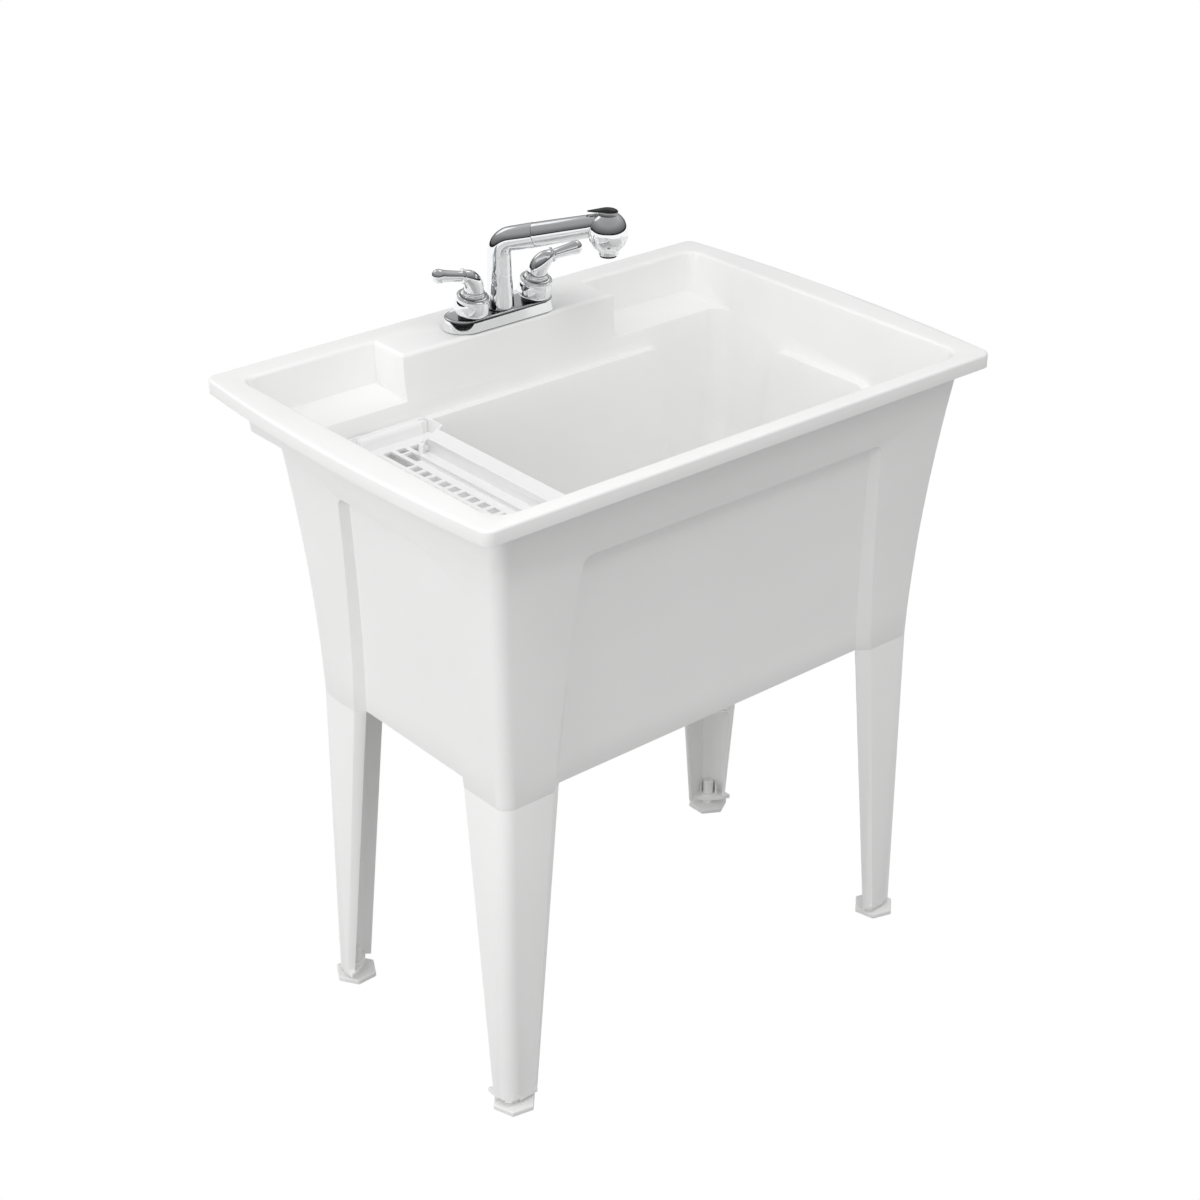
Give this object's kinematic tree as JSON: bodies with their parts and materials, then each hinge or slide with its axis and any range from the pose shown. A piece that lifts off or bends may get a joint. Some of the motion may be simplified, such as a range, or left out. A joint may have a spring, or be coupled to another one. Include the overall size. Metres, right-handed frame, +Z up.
{
  "type": "utility laundry sink",
  "caption": "Free-standing moulded laundry tub on tapered legs with levelling feet, soap shelves, lift-out tray, basket drain and lever faucet with pull-out spray.",
  "frame": {"origin": "centre of the rim's outline, on the floor under the feet", "axes": "+X to the user's right, +Y to the back where the faucet stands, +Z up"},
  "size_m": [0.817, 0.5588, 1.0008],
  "materials": {
    "white_resin": "satin moulded",
    "foot_plastic": "satin",
    "steel_screw": "zinc plated",
    "brushed_drain": "brushed",
    "black_rubber": "matte",
    "card_fibre": "fibre",
    "nut_plastic": "satin",
    "chrome_plate": "polished",
    "dark_plastic": "gloss",
    "valve_brass": "machined"
  },
  "bodies": {
    "sink": {"tub": "white_resin", "leg_front_left": "white_resin", "leg_front_right": "white_resin", "leg_back_left": "white_resin", "leg_back_right": "white_resin", "leg_screws": "steel_screw", "strainer_body": "brushed_drain", "drain_gasket": "black_rubber", "drain_friction_ring": "card_fibre", "drain_lock_nut": "nut_plastic", "slip_washer": "black_rubber", "tailpiece": "brushed_drain", "slip_nut": "nut_plastic", "faucet_gasket": "black_rubber", "faucet_base": "chrome_plate", "shank_nuts": "nut_plastic", "bell_feet": "dark_plastic", "valve_left": "valve_brass", "valve_right": "valve_brass"},
    "foot_front_left": {"foot_front_left": "foot_plastic"},
    "foot_front_right": {"foot_front_right": "foot_plastic"},
    "foot_back_left": {"foot_back_left": "foot_plastic"},
    "foot_back_right": {"foot_back_right": "foot_plastic"},
    "basket": {"strainer_basket": "brushed_drain", "strainer_plug": "black_rubber"},
    "tray": {"tray": "white_resin"},
    "handle_left": {"stem_left": "valve_brass", "bell_left": "chrome_plate", "lever_left": "chrome_plate"},
    "handle_right": {"stem_right": "valve_brass", "bell_right": "chrome_plate", "lever_right": "chrome_plate"},
    "spout": {"spout": "chrome_plate"},
    "wand": {"wand_sleeve": "chrome_plate", "spray_head": "chrome_plate", "spray_plate": "dark_plastic"},
    "button": {"spray_button": "dark_plastic"}
  },
  "joints": [
    {"name": "level_front_left", "type": "slide", "parent": "sink", "child": "foot_front_left", "axis": [0, 0, 1], "range_m": [-0.02, 0.005]},
    {"name": "level_front_right", "type": "slide", "parent": "sink", "child": "foot_front_right", "axis": [0, 0, 1], "range_m": [-0.02, 0.005]},
    {"name": "level_back_left", "type": "slide", "parent": "sink", "child": "foot_back_left", "axis": [0, 0, 1], "range_m": [-0.02, 0.005]},
    {"name": "level_back_right", "type": "slide", "parent": "sink", "child": "foot_back_right", "axis": [0, 0, 1], "range_m": [-0.02, 0.005]},
    {"name": "basket_lift", "type": "slide", "parent": "sink", "child": "basket", "axis": [0, 0, 1], "range_m": [0, 0.12]},
    {"name": "tray_lift", "type": "slide", "parent": "sink", "child": "tray", "axis": [0, 0, 1], "range_m": [0, 0.2]},
    {"name": "handle_left_turn", "type": "hinge", "parent": "sink", "child": "handle_left", "pos_m": [-0.0508, 0.201, 0.8585], "axis": [0, -0.225, 0.9744], "range_deg": [0, 90]},
    {"name": "handle_right_turn", "type": "hinge", "parent": "sink", "child": "handle_right", "pos_m": [0.0508, 0.201, 0.8585], "axis": [0, -0.225, 0.9744], "range_deg": [-90, 0]},
    {"name": "spout_swivel", "type": "hinge", "parent": "sink", "child": "spout", "pos_m": [0, 0.205, 0.87], "axis": [0, 0, 1], "range_deg": [-95, 25]},
    {"name": "wand_pull", "type": "slide", "parent": "spout", "child": "wand", "axis": [0.5573, -0.7958, 0.2368], "range_m": [0, 0.3]},
    {"name": "spray_button_press", "type": "slide", "parent": "wand", "child": "button", "axis": [0, 0, -1], "range_m": [0, 0.002], "stiffness_N_per_m": 400, "springref_m": -0.002}
  ]
}
